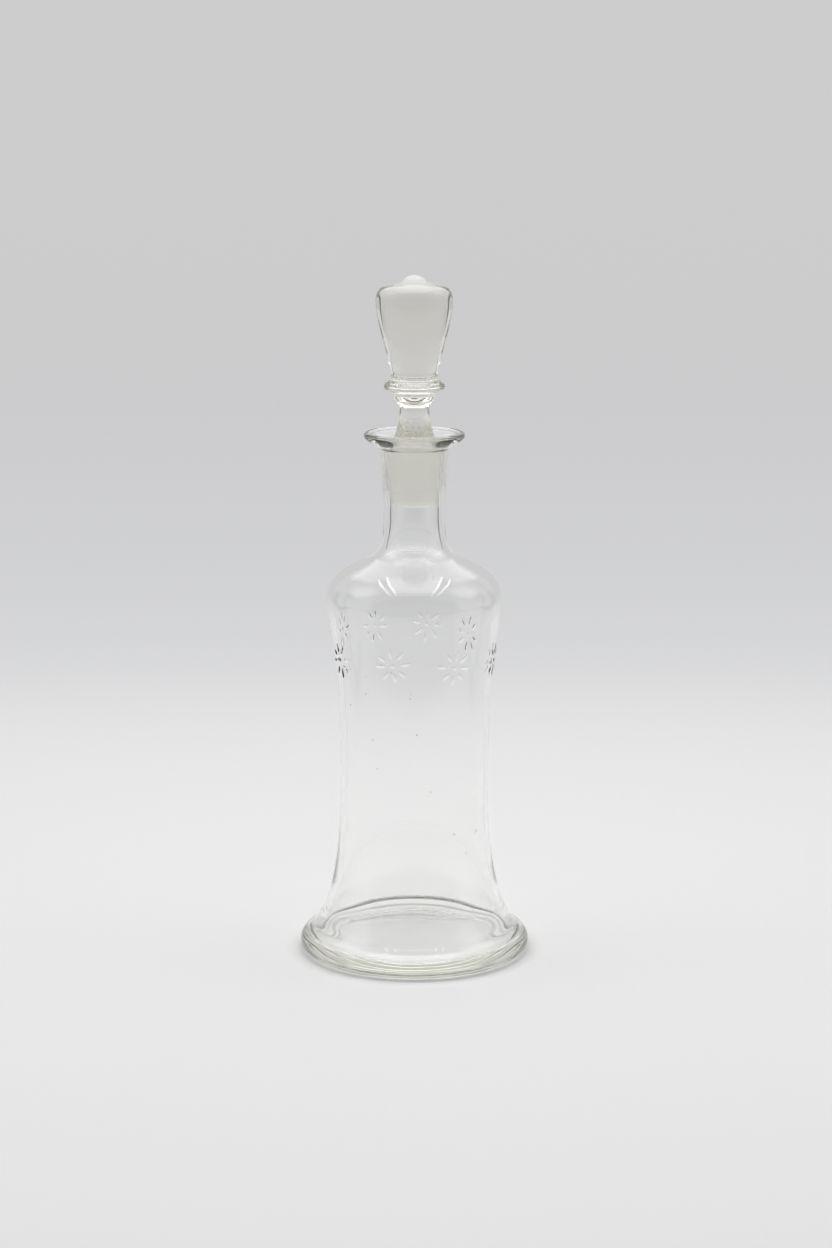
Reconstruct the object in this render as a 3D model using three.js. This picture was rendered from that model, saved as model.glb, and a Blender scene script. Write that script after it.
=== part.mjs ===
// Stoppered glass bottle: a waisted, mould-blown decanter and its ground glass stopper.
// Millimetres, +Z up. The origin is the middle of the flat ring that the bottle stands on.
import * as THREE from 'three';

// Foot and base
const footRadius = 42.5;
const footEdgeRadius = 3.7; // round of the foot's thick edge
const standWidth = 5; // flat ring under the foot
const pushUp = 2.6; // rise of the base towards its middle
const baseThickness = 4.2;

// Body, from the skirt above the foot to the shoulder
const skirtStartAngle = 78; // degrees round the foot's edge, from level, where the body leaves it
const skirtLean = 47; // degrees from upright there
const skirtSweep = 14; // length of the curve's pull above the foot
const waistRadius = 27.3;
const waistHeight = 62;
const waistSweepDown = 20.7;
const waistSweepUp = 24.7;
const chestRadius = 31; // where the body runs straightest, under the shoulder
const chestDrop = 11.4; // its depth below the shoulder
const chestLean = 8.6; // degrees outwards from upright
const chestSweepDown = 17.8;
const chestSweepUp = 4;
const shoulderRadius = 32.3;
const shoulderHeight = 131.4;
const shoulderSweepDown = 4;
const shoulderSweepUp = 5.5;

// Slope between the shoulder and the neck
const slopeRadius = 18.4; // where the shoulder's round turns into the neck's hollow sweep
const slopeRise = 15.4; // its height above the shoulder
const slopeAngle = 24; // degrees from level
const slopeSweepOut = 13;
const slopeSweepIn = 6.1;
const neckRise = 29.9; // from the shoulder to the straight neck
const neckSweepDown = 8.8;

// Neck, ground seat and lip
const neckRadius = 11.2;
const neckStraight = 6.2;
const seatLength = 21.1;
const seatTaper = 0.066; // radius gained for each millimetre of height
const lipFall = 1.1; // depth of the lip's foot below the top of the seat
const lipAngle = 42; // degrees from level where the lip leaves the neck
const lipRadius = 18.3;
const lipRise = 4.9; // from the lip's foot to where its rim rounds over
const lipSweepOut = 2.6;
const lipSweepUp = 2.1;

// Wall thicknesses
const skirtWall = 2.3;
const waistWall = 1.7;
const shoulderWall = 2.5;
const neckWall = 2.6;
const lipWall = 2.4;
const rimWall = 2.3;
const cornerRound = 2.2; // reach of the inside round between wall and floor

// Stopper, measured up or down from the top of the seat
const seatClearance = 0.3;
const plugLength = 21.6;
const plugEndRound = 3;
const plugTopRound = 1.3;
const flareAngle = 55; // degrees from level where the flare leaves the plug
const flareSweep = 2.6;
const stemRadius = 5.55;
const stemBottom = 12; // where the flare above the plug has become the stem
const stemSweepDown = 3;
const stemTop = 14.2;
const stepAngle = 36; // degrees from level of the underside of the two steps under the collar
const stepRadius = 6.3; // lower step
const stepTop = 15.9;
const ringRadius = 7.2; // upper step
const ringTop = 18;
const beadSwell = 0.05; // swell of each step's upright edge
const coveHollow = 0.5; // hollow of the slope between the upper step and the collar
const collarHeight = 21.55;
const collarRadius = 11;
const collarEdgeRadius = 1.45;
const collarBrowAngle = 60; // degrees round the collar's edge, above level, where its hollow top starts
const collarSweep = 1.9;
const bulbFootRadius = 8.55;
const bulbFootHeight = 25.4;
const bulbLean = 4; // degrees outwards from upright at the foot
const bulbRadius = 13.95;
const bulbHeight = 51.7; // height of its widest circle
const bulbSweepDown = 6.8;
const bulbSweepUp = 6;
const crownRise = 6.05; // from the widest circle to the flat crown
const crownRadius = 9.7;
const crownSweep = 4.3;
const crownSlope = 11; // degrees from level
const buttonRadius = 4.65;
const buttonRise = 2.7;

// Facets
const bottleSides = 48;
const stopperSides = 36;

const glass = { color: 0xdfe3df, roughness: 0.04, metalness: 0, transparent: true, opacity: 0.35 };

// Heights that follow from the sizes above
const neckStart = shoulderHeight + neckRise;
const seatBottom = neckStart + neckStraight;
const seatTop = seatBottom + seatLength;
const boreRadius = neckRadius - neckWall;
const seatWidening = seatTaper * seatLength;

const point = (radius, height) => new THREE.Vector2(radius, height);

// A point at a distance from another, at an angle in degrees from level.
function reach(from, angle, length) {
  const turn = THREE.MathUtils.degToRad(angle);
  return point(from.x + length * Math.cos(turn), from.y + length * Math.sin(turn));
}

function sweep(start, startPull, endPull, end) {
  return new THREE.CubicBezierCurve(start, startPull, endPull, end);
}

function bend(start, corner, end) {
  return new THREE.QuadraticBezierCurve(start, corner, end);
}

// A round between two angles in degrees, drawn anticlockwise.
function round(centre, radius, from, to) {
  const start = THREE.MathUtils.degToRad(from);
  const end = THREE.MathUtils.degToRad(to);
  return new THREE.EllipseCurve(centre.x, centre.y, radius, radius, start, end);
}

// Points along a curve, moved to its left by a thickness that changes along it.
function inset(curve, steps, startThickness, endThickness) {
  const points = [];
  for (let step = 0; step <= steps; step += 1) {
    const along = step / steps;
    const thickness = THREE.MathUtils.lerp(startThickness, endThickness, along);
    const place = curve.getPoint(along);
    const heading = curve.getTangent(along);
    points.push(point(place.x - thickness * heading.y, place.y + thickness * heading.x));
  }
  return points;
}

// One outline from stretches that meet end to end.
function outline(stretches) {
  const points = [];
  for (const next of stretches.flat()) {
    const last = points[points.length - 1];
    if (!last || last.distanceTo(next) > 1e-4) points.push(next);
  }
  return points;
}

function turned(name, points, sides) {
  const geometry = new THREE.LatheGeometry(points, sides);
  geometry.rotateX(Math.PI / 2);
  const mesh = new THREE.Mesh(geometry, new THREE.MeshStandardMaterial(glass));
  mesh.name = name;
  return mesh;
}

function makeBottle() {
  // Outside of the body, from the foot to the neck
  const edgeCentre = point(footRadius - footEdgeRadius, footEdgeRadius);
  const skirtStart = reach(edgeCentre, skirtStartAngle, footEdgeRadius);
  const waist = point(waistRadius, waistHeight);
  const chest = point(chestRadius, shoulderHeight - chestDrop);
  const shoulder = point(shoulderRadius, shoulderHeight);
  const slope = point(slopeRadius, shoulderHeight + slopeRise);
  const neck = point(neckRadius, neckStart);
  const skirtCurve = sweep(
    skirtStart,
    reach(skirtStart, 90 + skirtLean, skirtSweep),
    point(waist.x, waist.y - waistSweepDown),
    waist,
  );
  const bodyCurve = sweep(
    waist,
    point(waist.x, waist.y + waistSweepUp),
    reach(chest, 270 - chestLean, chestSweepDown),
    chest,
  );
  const chestCurve = sweep(
    chest,
    reach(chest, 90 - chestLean, chestSweepUp),
    point(shoulder.x, shoulder.y - shoulderSweepDown),
    shoulder,
  );
  const shoulderCurve = sweep(
    shoulder,
    point(shoulder.x, shoulder.y + shoulderSweepUp),
    reach(slope, -slopeAngle, slopeSweepOut),
    slope,
  );
  const hollowCurve = sweep(
    slope,
    reach(slope, 180 - slopeAngle, slopeSweepIn),
    point(neck.x, neck.y - neckSweepDown),
    neck,
  );

  // Inside of the body, and the floor inside
  const slopeWall = (shoulderWall + neckWall) / 2;
  const insideUp = [
    inset(skirtCurve, 8, skirtWall, waistWall),
    inset(bodyCurve, 7, waistWall, shoulderWall),
    inset(chestCurve, 3, shoulderWall, shoulderWall),
    inset(shoulderCurve, 7, shoulderWall, slopeWall),
    inset(hollowCurve, 6, slopeWall, neckWall),
  ].flat().filter((place) => place.y > baseThickness + cornerRound / 2);
  const wallFoot = insideUp[0];
  const wallHeading = insideUp[1].clone().sub(wallFoot);
  const cornerDrop = wallFoot.y - baseThickness;
  const corner = point(wallFoot.x - (wallHeading.x / wallHeading.y) * cornerDrop, baseThickness);
  const floorEdge = point(wallFoot.x - cornerRound, baseThickness);
  const floorMiddle = point(0, baseThickness + pushUp);
  const floorCurve = bend(floorEdge, point(floorEdge.x / 2, floorMiddle.y), floorMiddle);

  // Lip: an open bowl with a thick round rim
  const lipFoot = point(neckRadius + seatWidening, seatTop - lipFall);
  const lipEdge = point(lipRadius, lipFoot.y + lipRise);
  const lipCurve = sweep(
    lipFoot,
    reach(lipFoot, lipAngle, lipSweepOut),
    point(lipEdge.x, lipEdge.y - lipSweepUp),
    lipEdge,
  );
  const rimCentre = point(lipEdge.x - rimWall / 2, lipEdge.y);
  const seatMouth = point(boreRadius + seatWidening, seatTop);

  const standEdge = point(footRadius - footEdgeRadius - standWidth, 0);
  const baseMiddle = point(0, pushUp);
  const baseCurve = bend(baseMiddle, point(standEdge.x / 2, baseMiddle.y), standEdge);
  const points = outline([
    baseCurve.getPoints(5),
    round(edgeCentre, footEdgeRadius, -90, skirtStartAngle).getPoints(8),
    skirtCurve.getPoints(8),
    bodyCurve.getPoints(7),
    chestCurve.getPoints(3),
    shoulderCurve.getPoints(7),
    hollowCurve.getPoints(6),
    [point(neckRadius, seatBottom)],
    lipCurve.getPoints(5),
    round(rimCentre, rimWall / 2, 0, 180).getPoints(6),
    inset(lipCurve, 5, lipWall, rimWall).reverse(),
    [seatMouth, point(boreRadius, seatBottom)],
    insideUp.reverse(),
    bend(wallFoot, corner, floorEdge).getPoints(4),
    floorCurve.getPoints(5),
  ]);
  return turned('bottle', points, bottleSides);
}

function makeStopper() {
  // The plug takes its taper from the seat, less the clearance
  const plugRadius = (height) => boreRadius + seatWidening + seatTaper * height - seatClearance;
  const plugEnd = point(plugRadius(-plugLength) - plugEndRound, -plugLength);
  const plugSide = point(plugRadius(plugEndRound - plugLength), plugEndRound - plugLength);
  const plugTop = point(plugRadius(0), 0);
  const plugBrow = point(plugTop.x - plugTopRound, plugTopRound);
  const stem = point(stemRadius, stemBottom);
  const stemHead = point(stemRadius, stemTop);
  const flareCurve = sweep(
    plugBrow,
    reach(plugBrow, 180 - flareAngle, flareSweep),
    point(stem.x, stem.y - stemSweepDown),
    stem,
  );

  // Two conical steps with swollen edges lead from the stem to the collar
  const stepRise = Math.tan(THREE.MathUtils.degToRad(stepAngle));
  const step = point(stepRadius, stemTop + stepRise * (stepRadius - stemRadius));
  const stepHead = point(stepRadius, stepTop);
  const ring = point(ringRadius, stepTop + stepRise * (ringRadius - stepRadius));
  const ringHead = point(ringRadius, ringTop);
  const stepBead = bend(step, point(step.x + 2 * beadSwell, (step.y + stepHead.y) / 2), stepHead);
  const ringBead = bend(ring, point(ring.x + 2 * beadSwell, (ring.y + ringHead.y) / 2), ringHead);
  const collarCentre = point(collarRadius - collarEdgeRadius, collarHeight);
  const collarFoot = point(collarCentre.x, collarHeight - collarEdgeRadius);
  const coveMiddle = ringHead.clone().add(collarFoot).multiplyScalar(0.5);
  const collarCove = bend(ringHead, reach(coveMiddle, 135, coveHollow), collarFoot);
  const collarBrow = reach(collarCentre, collarBrowAngle, collarEdgeRadius);
  const bulbFoot = point(bulbFootRadius, bulbFootHeight);
  const collarTop = bend(collarBrow, reach(collarBrow, 90 + collarBrowAngle, collarSweep), bulbFoot);
  const bulbWide = point(bulbRadius, bulbHeight);
  const crown = point(crownRadius, bulbHeight + crownRise);
  const bulbCurve = sweep(
    bulbFoot,
    reach(bulbFoot, 90 - bulbLean, bulbSweepUp),
    point(bulbWide.x, bulbWide.y - bulbSweepDown),
    bulbWide,
  );
  const crownCurve = sweep(
    bulbWide,
    point(bulbWide.x, bulbWide.y + crownSweep),
    reach(crown, -crownSlope, crownSweep / 2),
    crown,
  );

  // The button is a cap of a ball that rises from the crown
  const crownPitch = Math.tan(THREE.MathUtils.degToRad(crownSlope));
  const buttonFoot = crown.y + crownPitch * (crown.x - buttonRadius);
  const ballRadius = (buttonRadius ** 2 + buttonRise ** 2) / (2 * buttonRise);
  const ballCentre = point(0, buttonFoot + buttonRise - ballRadius);
  const capAngle = THREE.MathUtils.radToDeg(Math.acos(buttonRadius / ballRadius));

  const points = outline([
    [point(0, -plugLength), plugEnd],
    bend(plugEnd, point(plugSide.x, plugEnd.y), plugSide).getPoints(4),
    bend(plugTop, point(plugTop.x, plugBrow.y), plugBrow).getPoints(3),
    flareCurve.getPoints(6),
    [stemHead],
    stepBead.getPoints(4),
    ringBead.getPoints(4),
    collarCove.getPoints(4),
    round(collarCentre, collarEdgeRadius, -90, collarBrowAngle).getPoints(7),
    collarTop.getPoints(4),
    bulbCurve.getPoints(8),
    crownCurve.getPoints(6),
    round(ballCentre, ballRadius, capAngle, 90).getPoints(4),
  ]);
  return turned('stopper', points, stopperSides);
}

const decanter = new THREE.Group();
const stopper = makeStopper();
stopper.position.z = seatTop;
decanter.add(makeBottle(), stopper);

export default decanter;
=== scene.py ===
"""Looks of the stoppered glass bottle: clear glass turned from the frame's own outlines, the ring of
cut stars, the ground seat and plug, a pale sweep to stand on and the light of a small photo tent."""
import math

import bpy
import numpy as np
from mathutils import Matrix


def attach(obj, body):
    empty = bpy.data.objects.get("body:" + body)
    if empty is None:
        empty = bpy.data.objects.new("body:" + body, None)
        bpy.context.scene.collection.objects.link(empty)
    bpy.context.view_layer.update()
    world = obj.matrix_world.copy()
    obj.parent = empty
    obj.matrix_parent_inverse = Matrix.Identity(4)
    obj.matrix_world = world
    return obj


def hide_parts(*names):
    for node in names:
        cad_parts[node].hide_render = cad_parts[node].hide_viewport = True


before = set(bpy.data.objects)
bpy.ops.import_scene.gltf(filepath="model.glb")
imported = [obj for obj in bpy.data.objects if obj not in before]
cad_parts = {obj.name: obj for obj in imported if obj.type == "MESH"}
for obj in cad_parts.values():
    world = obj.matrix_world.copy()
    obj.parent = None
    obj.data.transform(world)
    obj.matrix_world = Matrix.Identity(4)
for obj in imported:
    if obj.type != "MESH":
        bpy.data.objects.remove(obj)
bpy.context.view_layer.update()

MM = 0.001

# Camera: where the photograph was taken from, and its lens
IMAGE_LONG_SIDE = 1248
SENSOR_WIDTH = 36
FOCAL_PIXELS = 2785
CAMERA_DISTANCE = 1.0
CAMERA_HEIGHT = 0.3235
CAMERA_ASIDE = 0.0006
CAMERA_PITCH = 11.35
NEAR_CLIP = 0.01

# Facets of the fine surfaces; places closer than the smallest step are one place
SIDES = 192
STAR_SIDES = 4 * SIDES
STEPS_PER_FACET = 4
STAR_ROW = 0.25 * MM
CORNER_TURN = 40
CREASE_TURN = 32
STRAIGHT_LENGTH = 12 * MM
SMALLEST_STEP = 1e-6

# Ground glass: heights where the grinding starts and where it is full, and the tilt of its lower edge
SEAT_GROUND = (163 * MM, 178 * MM)
SEAT_FADE = 2.5
SEAT_TILT = 0.09
SEAT_RADIUS = 10.3 * MM
MOUTH_HEIGHT = 188.6 * MM
PLUG_TOP = (190 * MM, 187 * MM)
FLARE_TOP = (199 * MM, 196 * MM)

# Glass: its colour in the thickness, slow waves in its surface, and the colours of the ground faces
GLASS_IOR = 1.51
GLASS_DENSITY = 6
BOTTLE_COLOUR = (0.88, 0.895, 0.68, 1)
STOPPER_COLOUR = (0.50, 0.44, 0.10, 1)
WAVE_SCALE = 35
WAVE_DETAIL = 1
WAVE_STRENGTH = 0.05
WAVE_HEIGHT = 2 * MM
GRIT_SCALE = 900
GRIT_DETAIL = 4
CLEAR = (1, 1, 1, 1)
SEAT_COLOUR = (0.98, 0.975, 0.94, 1)
SEAT_SHEEN = (0.60, 0.595, 0.55, 1)
PLUG_COLOUR = (0.99, 0.99, 0.98, 1)
GROUND_ROUGHNESS = (0.42, 0.6)
FLARE_COLOUR = (0.68, 0.675, 0.64, 1)
FLARE_ROUGHNESS = (0.2, 0.32)

# Uneven inside of blown glass: waves given by share, lobes round the axis, turn, and pitch along it
UNEVEN = 0.10 * MM
UNEVEN_TOP = (60 * MM, 100 * MM)
UNEVEN_WAVES = ((0.5, 2, 0.9, 31 * MM), (0.3, 3, -1.7, 17 * MM), (0.2, 5, 0.4, -23 * MM))
BASE_RADIUS = 20 * MM
BASE_HEIGHT = 20 * MM

# Seeds: small bubbles in the body's wall, drawn out along it, at a share of its depth from outside
SEEDS = 26
SEED_DRAW = 7
SEED_HEIGHTS = (30 * MM, 100 * MM)
SEED_RADIUS = (0.10 * MM, 0.26 * MM)
SEED_DEPTH = 0.4
SEED_STRETCH = 1.6
SEED_ROWS = 6
SEED_SIDES = 12

# Cut stars: bearing from the front in degrees, and height in mm; the cutter's hand varies the petals
STARS = ((-63, 112.2), (-15, 113.2), (29, 111.9), (76, 110.8), (134, 114.8), (170.5, 116.6),
         (211.6, 116.9), (252, 118.7))
STAR_DRAW = 100
STAR_TURN = 12
STAR_PETALS = 8
PETAL_INNER = 2.5 * MM
PETAL_LENGTH = 4.0 * MM
PETAL_WIDTH = 1.25 * MM
PETAL_DEPTH = 0.36 * MM
PETAL_TURN = 7
PETAL_STRETCH = (0.85, 1.1)
PETAL_SHIFT = 0.3 * MM
PETAL_TIP = 1e-3
DOT_RADIUS = 0.75 * MM
DOT_DEPTH = 0.2 * MM
STAR_MARGIN = 1.5 * MM
STAR_REACH = PETAL_INNER + PETAL_LENGTH + STAR_MARGIN

# Lamps of the photo tent: a soft panel overhead between two pairs of bright strips, a fill on either
# side and one behind
TENT_TOP = 0.80
LIGHT_MIDDLE = 0.04
PANEL_SIZE = (0.40, 0.52)
PANEL_POWER = 0.90
STRIP_PLACES = (-0.29, -0.21, 0.21, 0.29)
STRIP_SIZE = (0.018, 0.52)
STRIP_POWER = 0.15
LAMP_AIM = 0.05
FILL_PLACE = (0.50, 0.05, 0.60)
FILL_SIZE = (0.80, 0.90)
FILL_POWER = 0.5
BACK_PLACE = (0, 0.55, 0.75)
BACK_SIZE = (0.90, 0.50)
BACK_POWER = 0.95

# Walls of the tent: pale, with a soft glow high on either side, and the darker room in front
WALL_TONE = 0.57
FRONT_TONE = 0.20
FRONT_EDGE = (-0.55, -0.35)
GLOW_TOWARDS = (0.71, 0.12, 0.69)
GLOW_EDGE = (0.93, 0.995)
GLOW_TONE = 1.0

# Sweep: a paper floor, a hair below the foot, that runs on into a back wall glowing with painted light, with
# tones
# along the run from front to back: painted shade on the paper, darkest far in front and a little darker
# towards the back, and the wall's painted glow greyer higher up
SWEEP_DROP = 0.05 * MM
SWEEP_FRONT = -3.0
SWEEP_BEND = 0.60
SWEEP_RADIUS = 1.5
SWEEP_STEPS = 24
SWEEP_TOP = 3.0
SWEEP_HALF_WIDTH = 3.0
PAPER_ROUGHNESS = 0.9
WALL_START = (0.20, 0.62)
# Paper tones: the paper's pale colour with painted shade, falling to dark far in front and a little darker
# towards the back
PAPER_AND_SHADE_TONES = ((-0.9, (0.22, 0.22, 0.22)), (-0.4, (0.90, 0.90, 0.90)), (0.6, (0.82, 0.82, 0.82)))
# Wall tones: painted light, a glow rather than lamplight on the wall, painted greyer higher up
WALL_GLOW_TONES = ((0.3, (0.77, 0.772, 0.785)), (0.48, (0.69, 0.692, 0.705)), (0.75, (0.64, 0.642, 0.655)),
              (1.15, (0.60, 0.60, 0.61)), (2.0, (0.61, 0.61, 0.61)))

# Painted shade of a dark gap beside the paper, behind the bottle and out of the picture, put on the paper and
# the wall's glow for all but camera rays, that the glass shows as lines: where the paper ends and how it
# widens, and where the gap starts and ends past it
PAPER_EDGE = 0.34
PAPER_FLARE = 0.72
GAP_NEAR = (0.0, 0.1)
GAP_FAR = (0.28, 0.38)
GAP_START = (0.12, 0.32)
GAP_SHADE_COLOUR = (0.16, 0.16, 0.16, 1)

# Passes of light through the glass
LIGHT_BOUNCES = 32
GLOSSY_BOUNCES = 16


def node_outline(name):
    """The node's outline as radius and height, in order from its lower end on the axis."""
    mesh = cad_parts[name].data
    places = np.array([vertex.co for vertex in mesh.vertices])
    on_line = (abs(places[:, 0]) < SMALLEST_STEP) & (places[:, 1] < SMALLEST_STEP)
    spots = {}
    spot_of = {}
    for index in np.nonzero(on_line)[0]:
        key = tuple(np.round(places[index, 1:] / SMALLEST_STEP).astype(int))
        spot_of[int(index)] = spots.setdefault(key, len(spots))
    beside = {spot: set() for spot in spots.values()}
    for edge in mesh.edges:
        first, second = (spot_of.get(end) for end in edge.vertices)
        if first is not None and second is not None and first != second:
            beside[first].add(second)
            beside[second].add(first)
    points = np.array(list(spots)) * SMALLEST_STEP
    ends = [spot for spot, others in beside.items() if len(others) == 1]
    here = min(ends, key=lambda spot: points[spot, 1])
    order = [here]
    while len(order) < len(points):
        here = next(spot for spot in beside[here] if spot not in order[-2:])
        order.append(here)
    return points[order] * [-1, 1]


def spline(points, steps):
    """A smooth line through points: a cubic spline by chord length, sampled a few times per chord."""
    if len(points) < 3:
        share = np.linspace(0, 1, steps + 1)[:, None]
        return points[0] + share * (points[1] - points[0])
    chords = np.linalg.norm(np.diff(points, axis=0), axis=1)
    count = len(points)
    matrix = np.zeros((count, count))
    right = np.zeros((count, 2))
    matrix[0, :2] = 2, 1
    matrix[-1, -2:] = 1, 2
    right[0] = 3 * (points[1] - points[0]) / chords[0]
    right[-1] = 3 * (points[-1] - points[-2]) / chords[-1]
    for i in range(1, count - 1):
        before, after = chords[i - 1], chords[i]
        matrix[i, i - 1:i + 2] = after, 2 * (before + after), before
        slope_before = (points[i] - points[i - 1]) / before
        slope_after = (points[i + 1] - points[i]) / after
        right[i] = 3 * (after * slope_before + before * slope_after)
    slopes = np.linalg.solve(matrix, right)
    line = [points[:1]]
    for i in range(count - 1):
        t = (np.arange(1, steps + 1) / steps)[:, None]
        start, end = points[i], points[i + 1]
        pull, push = slopes[i] * chords[i], slopes[i + 1] * chords[i]
        line.append((2 * t**3 - 3 * t**2 + 1) * start + (t**3 - 2 * t**2 + t) * pull
                    + (3 * t**2 - 2 * t**3) * end + (t**3 - t**2) * push)
    return np.vstack(line)


def fine_outline(points):
    """The outline as smooth stretches between its sharp corners and its long straight sides."""
    heading = np.diff(points, axis=0)
    angle = np.unwrap(np.arctan2(heading[:, 1], heading[:, 0]))
    turn = np.degrees(abs(np.diff(angle)))
    straight = np.nonzero(np.linalg.norm(heading, axis=1) > STRAIGHT_LENGTH)[0]
    corners = np.nonzero(turn > CORNER_TURN)[0] + 1
    cuts = sorted({0, *corners, *straight, *(straight + 1), len(points) - 1})
    line = points[:1]
    for start, end in zip(cuts[:-1], cuts[1:]):
        line = np.vstack([line, spline(points[start:end + 1], STEPS_PER_FACET)[1:]])
    return line


def star_cuts(bearing, height, radius):
    """Depth of the cut stars on the body's outside, at bearings in radians and one height."""
    depth = np.zeros_like(bearing)
    for star, (star_bearing, star_height) in enumerate(STARS):
        rng = np.random.default_rng(STAR_DRAW + star)
        aside = (bearing - math.radians(star_bearing) + math.pi) % (2 * math.pi) - math.pi
        aside = aside * radius
        above = height - star_height * MM
        near = abs(aside) < STAR_REACH
        turn = rng.uniform(-STAR_TURN, STAR_TURN)
        for petal in range(STAR_PETALS):
            angle = math.radians(360 * petal / STAR_PETALS + turn + rng.uniform(-PETAL_TURN, PETAL_TURN))
            length = PETAL_LENGTH * rng.uniform(*PETAL_STRETCH)
            middle = PETAL_INNER + length / 2 + rng.uniform(-PETAL_SHIFT, PETAL_SHIFT)
            along = aside * math.cos(angle) + above * math.sin(angle)
            across = above * math.cos(angle) - aside * math.sin(angle)
            swell = 1 - ((along - middle) / (length / 2)) ** 2
            edge = np.maximum(swell, PETAL_TIP) * PETAL_WIDTH / 2
            cut = np.clip(1 - abs(across) / edge, 0, 1) * np.maximum(swell, 0) * PETAL_DEPTH
            depth = np.maximum(depth, np.where(near, cut, 0))
        dot = 1 - (aside**2 + above**2) / DOT_RADIUS**2
        depth = np.maximum(depth, np.where(near, np.clip(dot, 0, 1) * DOT_DEPTH, 0))
    return depth


def ring(radius, height, sides):
    """Points of a level circle round the axis, from the front."""
    bearing = 2 * math.pi * np.arange(sides) / sides
    return np.column_stack([radius * np.sin(bearing), -radius * np.cos(bearing), np.full(sides, height)])


def join_rings(first, second, first_count, second_count):
    """Faces between two rings of points, given by their first indices and counts."""
    faces = []
    if first_count == 1 or second_count == 1:
        count = max(first_count, second_count)
        for i in range(count):
            following = (i + 1) % count
            if first_count == 1:
                faces.append((first, second + following, second + i))
            else:
                faces.append((first + i, first + following, second))
        return faces
    if first_count == second_count:
        for i in range(first_count):
            following = (i + 1) % first_count
            faces.append((first + i, first + following, second + following, second + i))
        return faces
    coarse_first = first_count < second_count
    coarse, fine = (first, second) if coarse_first else (second, first)
    coarse_count, fine_count = sorted((first_count, second_count))
    ratio = fine_count // coarse_count
    for i in range(coarse_count):
        near, far = coarse + i, coarse + (i + 1) % coarse_count
        edge = [fine + (i * ratio + k) % fine_count for k in range(ratio + 1)]
        fan = [(near, edge[k + 1], edge[k]) for k in range(ratio // 2)]
        fan.append((near, far, edge[ratio // 2]))
        fan += [(far, edge[k + 1], edge[k]) for k in range(ratio // 2, ratio)]
        faces += fan if coarse_first else [face[::-1] for face in fan]
    return faces


def turned_mesh(name, skins):
    """A mesh of closed skins, each a run of rings of points that are joined one to the next."""
    points = []
    faces = []
    for rings in skins:
        for i, these in enumerate(rings):
            if i:
                before = len(rings[i - 1])
                faces += join_rings(len(points) - before, len(points), before, len(these))
            points += these.tolist()
    mesh = bpy.data.meshes.new(name)
    mesh.from_pydata(points, [], faces)
    mesh.polygons.foreach_set("use_smooth", [True] * len(mesh.polygons))
    mesh.set_sharp_from_angle(angle=math.radians(CREASE_TURN))
    piece = bpy.data.objects.new(name, mesh)
    bpy.context.collection.objects.link(piece)
    return piece


def plain_rings(line):
    """Rings along an outline, with single points where it meets the axis."""
    return [ring(radius, height, SIDES) if radius > SMALLEST_STEP else np.array([[0, 0, height]])
            for radius, height in line]


def uneven_rings(line):
    """Rings of the inside, pushed in and out a little by slow waves that die away towards the neck."""
    rings = plain_rings(line)
    for points, (radius, height) in zip(rings, line):
        share = np.clip((UNEVEN_TOP[1] - height) / (UNEVEN_TOP[1] - UNEVEN_TOP[0]), 0, 1)
        bearing = np.arctan2(points[:, 0], -points[:, 1])
        wave = sum(part * np.sin(lobes * bearing + turn + height / pitch)
                   for part, lobes, turn, pitch in UNEVEN_WAVES)
        reach = UNEVEN * share * wave * min(1, radius / BASE_RADIUS)
        points[:, 0] += reach * np.sin(bearing)
        points[:, 1] -= reach * np.cos(bearing)
        if height < BASE_HEIGHT:
            points[:, 2] += reach
    return rings


def seed_rings(middle, radius):
    """A small bubble of air in the glass, drawn out along the blown wall."""
    rings = []
    for row in range(SEED_ROWS + 1):
        angle = math.pi * row / SEED_ROWS
        climb = SEED_STRETCH * radius * math.cos(angle)
        if row in (0, SEED_ROWS):
            rings.append(np.array([middle + [0, 0, climb]]))
        else:
            rings.append(ring(radius * math.sin(angle), climb, SEED_SIDES) + middle)
    return rings


def star_band(body, low, high):
    """Fine rings of the body's outside between two heights, with the stars cut into them."""
    climb = np.arange(low, high, STAR_ROW)
    star_radius = np.interp(climb, body[:, 1], body[:, 0])
    slope = np.gradient(star_radius, climb)
    bearing = 2 * math.pi * np.arange(STAR_SIDES) / STAR_SIDES
    rings = []
    for radius, height, lean in zip(star_radius, climb, slope):
        depth = star_cuts(bearing, height, radius)
        across = math.cos(math.atan(lean))
        inset = radius - depth * across
        raised = height + depth * across * lean
        rings.append(np.column_stack([inset * np.sin(bearing), -inset * np.cos(bearing), raised]))
    return rings


def seed_skins(body, inside):
    """Bubbles strewn through the wall between the body's outside and its inside."""
    rng = np.random.default_rng(SEED_DRAW)
    wall = inside[inside[:, 0] > BASE_RADIUS][::-1]
    skins = []
    for _ in range(SEEDS):
        bearing = rng.uniform(0, 2 * math.pi)
        height = rng.uniform(*SEED_HEIGHTS)
        outer = np.interp(height, body[:, 1], body[:, 0])
        inner = np.interp(height, wall[:, 1], wall[:, 0])
        radius = outer + SEED_DEPTH * (inner - outer)
        middle = np.array([radius * math.sin(bearing), -radius * math.cos(bearing), height])
        skins.append(seed_rings(middle, rng.uniform(*SEED_RADIUS)))
    return skins


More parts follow.
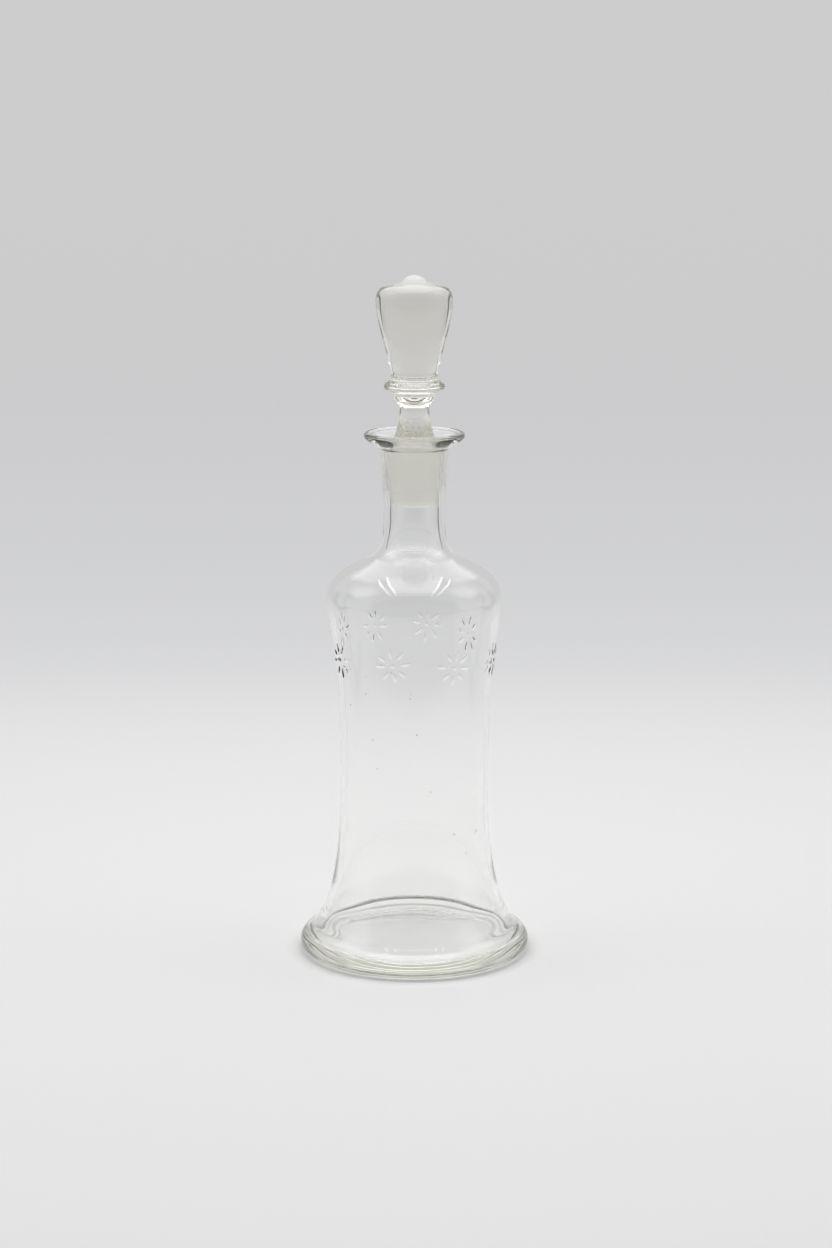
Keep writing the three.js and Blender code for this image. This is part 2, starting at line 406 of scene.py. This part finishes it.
def bottle_piece():
    """The bottle in one closed skin, up its outside and down its inside, and the seeds in its wall."""
    line = fine_outline(node_outline("bottle"))
    line[:, 1] = np.maximum(line[:, 1], 0)
    outside = line[:np.argmax(line[:, 1])]
    body = outside[np.argmax(outside[:, 0]):]
    low = min(height for _, height in STARS) * MM - STAR_REACH
    high = max(height for _, height in STARS) * MM + STAR_REACH
    below = outside[outside[:, 1] < low - STAR_ROW]
    above = line[np.count_nonzero(outside[:, 1] <= high + STAR_ROW):]
    top = np.argmax(above[:, 1])
    inside = above[top:]
    rings = plain_rings(below) + star_band(body, low, high) + plain_rings(above[:top]) + uneven_rings(inside)
    piece = turned_mesh("glass_bottle", [rings, *seed_skins(body, inside)])
    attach(piece, "bottle")
    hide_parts("bottle")
    return piece


def stopper_piece():
    """The solid stopper, in one closed skin."""
    line = fine_outline(node_outline("stopper"))
    piece = turned_mesh("glass_stopper", [plain_rings(line)])
    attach(piece, "stopper")
    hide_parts("stopper")
    return piece


def new_material(name):
    material = bpy.data.materials.new(name)
    material.use_nodes = True
    nodes = material.node_tree.nodes
    return material, nodes, material.node_tree.links, nodes["Principled BSDF"]


def math_node(nodes, links, operation, *values):
    """A sum or comparison of numbers and sockets."""
    node = nodes.new("ShaderNodeMath")
    node.operation = operation
    for socket, value in zip(node.inputs, values):
        if isinstance(value, (int, float)):
            socket.default_value = value
        else:
            links.new(value, socket)
    return node.outputs["Value"]


def smooth_step(nodes, links, value, low, high):
    """A share that eases from 0 to 1 as the value goes from low to high."""
    step = nodes.new("ShaderNodeMapRange")
    step.interpolation_type = "SMOOTHSTEP"
    step.inputs["From Min"].default_value, step.inputs["From Max"].default_value = low, high
    links.new(value, step.inputs["Value"])
    return step.outputs["Result"]


def tinted(nodes, links, colour, other, share):
    """One colour turned into another by a share from 0 to 1."""
    mix = nodes.new("ShaderNodeMix")
    mix.data_type = "RGBA"
    if isinstance(colour, tuple):
        mix.inputs["A"].default_value = colour
    else:
        links.new(colour, mix.inputs["A"])
    mix.inputs["B"].default_value = other
    links.new(share, mix.inputs["Factor"])
    return mix.outputs["Result"]


def seat_zone(nodes, links, x, y, z):
    """The ground seat: the bore's wall from a soft, tilted lower edge up to the mouth."""
    square = math_node(nodes, links, "MULTIPLY_ADD", x, x, math_node(nodes, links, "MULTIPLY", y, y))
    in_bore = math_node(nodes, links, "LESS_THAN", square, SEAT_RADIUS**2)
    below_mouth = math_node(nodes, links, "LESS_THAN", z, MOUTH_HEIGHT)
    tilted = math_node(nodes, links, "MULTIPLY_ADD", x, -SEAT_TILT, z)
    rise = smooth_step(nodes, links, tilted, *SEAT_GROUND)
    grinding = math_node(nodes, links, "POWER", rise, SEAT_FADE)
    inside = math_node(nodes, links, "MULTIPLY", in_bore, below_mouth)
    return math_node(nodes, links, "MULTIPLY", grinding, inside)


def plug_zone(nodes, links, x, y, z):
    """The ground plug, below a soft edge at the top of the seat."""
    return smooth_step(nodes, links, z, *PLUG_TOP)


def flare_zone(nodes, links, x, y, z):
    """The more lightly ground flare, from the plug up to a soft edge under the stem."""
    below = smooth_step(nodes, links, z, *PLUG_TOP)
    return math_node(nodes, links, "SUBTRACT", smooth_step(nodes, links, z, *FLARE_TOP), below)


def glass(name, colour, zones):
    """Glass with a little colour in its thickness, slow waves in its surface, and matt ground zones.
    A zone has its place, its colour, its roughness, and the tint of its reflections if it has one."""
    material, nodes, links, shader = new_material(name)
    shader.inputs["IOR"].default_value = GLASS_IOR
    shader.inputs["Transmission Weight"].default_value = 1
    place = nodes.new("ShaderNodeTexCoord").outputs["Object"]
    waves = nodes.new("ShaderNodeTexNoise")
    waves.inputs["Scale"].default_value = WAVE_SCALE
    waves.inputs["Detail"].default_value = WAVE_DETAIL
    bump = nodes.new("ShaderNodeBump")
    bump.inputs["Strength"].default_value = WAVE_STRENGTH
    bump.inputs["Distance"].default_value = WAVE_HEIGHT
    links.new(place, waves.inputs["Vector"])
    links.new(waves.outputs["Fac"], bump.inputs["Height"])
    links.new(bump.outputs["Normal"], shader.inputs["Normal"])
    absorb = nodes.new("ShaderNodeVolumeAbsorption")
    absorb.inputs["Color"].default_value = colour
    absorb.inputs["Density"].default_value = GLASS_DENSITY
    links.new(absorb.outputs["Volume"], nodes["Material Output"].inputs["Volume"])
    split = nodes.new("ShaderNodeSeparateXYZ")
    links.new(place, split.inputs["Vector"])
    grit = nodes.new("ShaderNodeTexNoise")
    grit.inputs["Scale"].default_value = GRIT_SCALE
    grit.inputs["Detail"].default_value = GRIT_DETAIL
    links.new(place, grit.inputs["Vector"])
    tint = CLEAR
    roughness = 0.0
    for zone, matt_colour, coarseness, sheen in zones:
        matt = zone(nodes, links, *(split.outputs[axis] for axis in "XYZ"))
        coarse = nodes.new("ShaderNodeMapRange")
        coarse.inputs["To Min"].default_value, coarse.inputs["To Max"].default_value = coarseness
        links.new(grit.outputs["Fac"], coarse.inputs["Value"])
        roughness = math_node(nodes, links, "MULTIPLY_ADD", coarse.outputs["Result"], matt, roughness)
        tint = tinted(nodes, links, tint, matt_colour, matt)
        if sheen:
            links.new(tinted(nodes, links, CLEAR, sheen, matt), shader.inputs["Specular Tint"])
    links.new(roughness, shader.inputs["Roughness"])
    links.new(tint, shader.inputs["Base Color"])
    return material


def tone_ramp(nodes, links, run, tones):
    """A colour ramp along the sweep's run, through tones given by their place on it."""
    first, last = tones[0][0], tones[-1][0]
    share = nodes.new("ShaderNodeMapRange")
    share.inputs["From Min"].default_value = first
    share.inputs["From Max"].default_value = last
    ramp = nodes.new("ShaderNodeValToRGB")
    marks = ramp.color_ramp.elements
    while len(marks) < len(tones):
        marks.new(1)
    for mark, (along, colour) in zip(marks, tones):
        mark.position = (along - first) / (last - first)
        mark.color = (*colour, 1)
    links.new(run, share.inputs["Value"])
    links.new(share.outputs["Result"], ramp.inputs["Fac"])
    return ramp.outputs["Color"]


def gap_shade_share(nodes, links, x, y, run, wall_share):
    """Where the painted shade of the dark gap beside the paper lies, as seen in the glass and not by the
    camera.
    """
    spread = math_node(nodes, links, "MAXIMUM", run, 0)
    spread = math_node(nodes, links, "MULTIPLY_ADD", spread, PAPER_FLARE, PAPER_EDGE)
    past = math_node(nodes, links, "SUBTRACT", math_node(nodes, links, "ABSOLUTE", x), spread)
    far = math_node(nodes, links, "MULTIPLY", smooth_step(nodes, links, past, *GAP_FAR), wall_share)
    gap = math_node(nodes, links, "SUBTRACT", smooth_step(nodes, links, past, *GAP_NEAR), far)
    gap = math_node(nodes, links, "MULTIPLY", gap, smooth_step(nodes, links, y, *GAP_START))
    seen = nodes.new("ShaderNodeLightPath").outputs["Is Camera Ray"]
    return math_node(nodes, links, "MULTIPLY", gap, math_node(nodes, links, "SUBTRACT", 1, seen))


def sweep_paper_and_glow():
    """Pale paper with tones of painted shade that turns into a wall glowing with painted light, painted
    greyer higher up.
    """
    material, nodes, links, shader = new_material("pale_paper_and_painted_glow")
    shader.inputs["Roughness"].default_value = PAPER_ROUGHNESS
    shader.inputs["Specular IOR Level"].default_value = 0.0
    place = nodes.new("ShaderNodeNewGeometry")
    split = nodes.new("ShaderNodeSeparateXYZ")
    links.new(place.outputs["Position"], split.inputs["Vector"])
    x, y, z = (split.outputs[axis] for axis in "XYZ")
    run = math_node(nodes, links, "ADD", y, z)
    share = smooth_step(nodes, links, run, *WALL_START)
    # Painted shade of the dark gap, on the paper and on the wall's glow, for all rays but camera rays
    gap = gap_shade_share(nodes, links, x, y, run, share)
    # Paper tones along the run: pale paper with painted shade, dark far in front and a little darker towards
    # the back
    paper = tone_ramp(nodes, links, run, PAPER_AND_SHADE_TONES)
    links.new(tinted(nodes, links, paper, GAP_SHADE_COLOUR, gap), shader.inputs["Base Color"])
    # The wall glows with painted light, though it is no lamp, and its glow is painted greyer higher up
    wall = nodes.new("ShaderNodeEmission")
    backdrop = tone_ramp(nodes, links, run, WALL_GLOW_TONES)
    links.new(tinted(nodes, links, backdrop, GAP_SHADE_COLOUR, gap), wall.inputs["Color"])
    blend = nodes.new("ShaderNodeMixShader")
    links.new(share, blend.inputs["Fac"])
    links.new(shader.outputs["BSDF"], blend.inputs[1])
    links.new(wall.outputs["Emission"], blend.inputs[2])
    links.new(blend.outputs["Shader"], nodes["Material Output"].inputs["Surface"])
    return material


def sweep_piece():
    """Floor and backdrop in one sheet of paper."""
    line = [(SWEEP_FRONT, 0.0)]
    for step in range(SWEEP_STEPS + 1):
        angle = math.radians(90 * step / SWEEP_STEPS)
        line.append((SWEEP_BEND + SWEEP_RADIUS * math.sin(angle), SWEEP_RADIUS * (1 - math.cos(angle))))
    line.append((SWEEP_BEND + SWEEP_RADIUS, SWEEP_TOP))
    points = [(side * SWEEP_HALF_WIDTH, y, z - SWEEP_DROP) for y, z in line for side in (-1, 1)]
    faces = [(2 * i, 2 * i + 1, 2 * i + 3, 2 * i + 2) for i in range(len(line) - 1)]
    mesh = bpy.data.meshes.new("sweep")
    mesh.from_pydata(points, [], faces)
    mesh.polygons.foreach_set("use_smooth", [True] * len(faces))
    piece = bpy.data.objects.new("sweep", mesh)
    bpy.context.collection.objects.link(piece)
    piece.data.materials.append(sweep_paper_and_glow())
    return piece


def light_world():
    """Pale walls all round with a soft glow high on either side, and the darker room in front of the tent."""
    world = bpy.data.worlds.new("tent")
    bpy.context.scene.world = world
    world.use_nodes = True
    nodes = world.node_tree.nodes
    links = world.node_tree.links
    towards = nodes.new("ShaderNodeTexCoord")
    split = nodes.new("ShaderNodeSeparateXYZ")
    links.new(towards.outputs["Generated"], split.inputs["Vector"])
    x, y, z = (split.outputs[axis] for axis in "XYZ")
    indoors = smooth_step(nodes, links, y, *FRONT_EDGE)
    tone = math_node(nodes, links, "MULTIPLY_ADD", indoors, WALL_TONE - FRONT_TONE, FRONT_TONE)
    aside = math_node(nodes, links, "MULTIPLY", math_node(nodes, links, "ABSOLUTE", x), GLOW_TOWARDS[0])
    facing = math_node(nodes, links, "MULTIPLY_ADD", y, GLOW_TOWARDS[1], aside)
    facing = math_node(nodes, links, "MULTIPLY_ADD", z, GLOW_TOWARDS[2], facing)
    glow = smooth_step(nodes, links, facing, *GLOW_EDGE)
    level = math_node(nodes, links, "MULTIPLY_ADD", glow, GLOW_TONE, tone)
    links.new(level, nodes["Background"].inputs["Color"])


def soft_light(name, place, size, power):
    """A flat rectangular lamp that faces straight down."""
    data = bpy.data.lights.new(name, "AREA")
    data.shape = "RECTANGLE"
    data.size, data.size_y = size
    data.energy = power
    lamp = bpy.data.objects.new(name, data)
    lamp.location = place
    bpy.context.collection.objects.link(lamp)
    return lamp


def light_tent():
    """The panel and its strips, the fills that reflections don't show, and the lamp behind."""
    soft_light("panel", (0, LIGHT_MIDDLE, TENT_TOP), PANEL_SIZE, PANEL_POWER)
    for number, aside in enumerate(STRIP_PLACES):
        soft_light(f"strip_{number}", (aside, LIGHT_MIDDLE, TENT_TOP), STRIP_SIZE, STRIP_POWER)
    fill_lean = math.atan2(FILL_PLACE[0], FILL_PLACE[2] - LAMP_AIM)
    for name, side in (("fill_left", -1), ("fill_right", 1)):
        fill = soft_light(name, (side * FILL_PLACE[0], *FILL_PLACE[1:]), FILL_SIZE, FILL_POWER)
        fill.rotation_euler = (0, side * fill_lean, 0)
        fill.visible_glossy = False
    back = soft_light("back", BACK_PLACE, BACK_SIZE, BACK_POWER)
    back.rotation_euler = (-math.atan2(BACK_PLACE[1], BACK_PLACE[2] - LAMP_AIM), 0, 0)


def place_camera():
    data = bpy.data.cameras.new("camera")
    data.sensor_width = SENSOR_WIDTH
    data.lens = FOCAL_PIXELS / IMAGE_LONG_SIDE * SENSOR_WIDTH
    data.clip_start = NEAR_CLIP
    camera = bpy.data.objects.new("camera", data)
    camera.location = (CAMERA_ASIDE, -CAMERA_DISTANCE, CAMERA_HEIGHT)
    camera.rotation_euler = (math.radians(90 - CAMERA_PITCH), 0, 0)
    bpy.context.collection.objects.link(camera)
    bpy.context.scene.camera = camera


place_camera()
seat = (seat_zone, SEAT_COLOUR, GROUND_ROUGHNESS, SEAT_SHEEN)
plug = (plug_zone, PLUG_COLOUR, GROUND_ROUGHNESS, None)
flare = (flare_zone, FLARE_COLOUR, FLARE_ROUGHNESS, None)
bottle_piece().data.materials.append(glass("bottle_glass", BOTTLE_COLOUR, [seat]))
stopper_piece().data.materials.append(glass("stopper_glass", STOPPER_COLOUR, [plug, flare]))
sweep_piece()
light_world()
light_tent()
scene = bpy.context.scene
scene.view_settings.view_transform = "Standard"
scene.cycles.max_bounces = LIGHT_BOUNCES
scene.cycles.transmission_bounces = LIGHT_BOUNCES
scene.cycles.glossy_bounces = GLOSSY_BOUNCES
scene.cycles.blur_glossy = 0
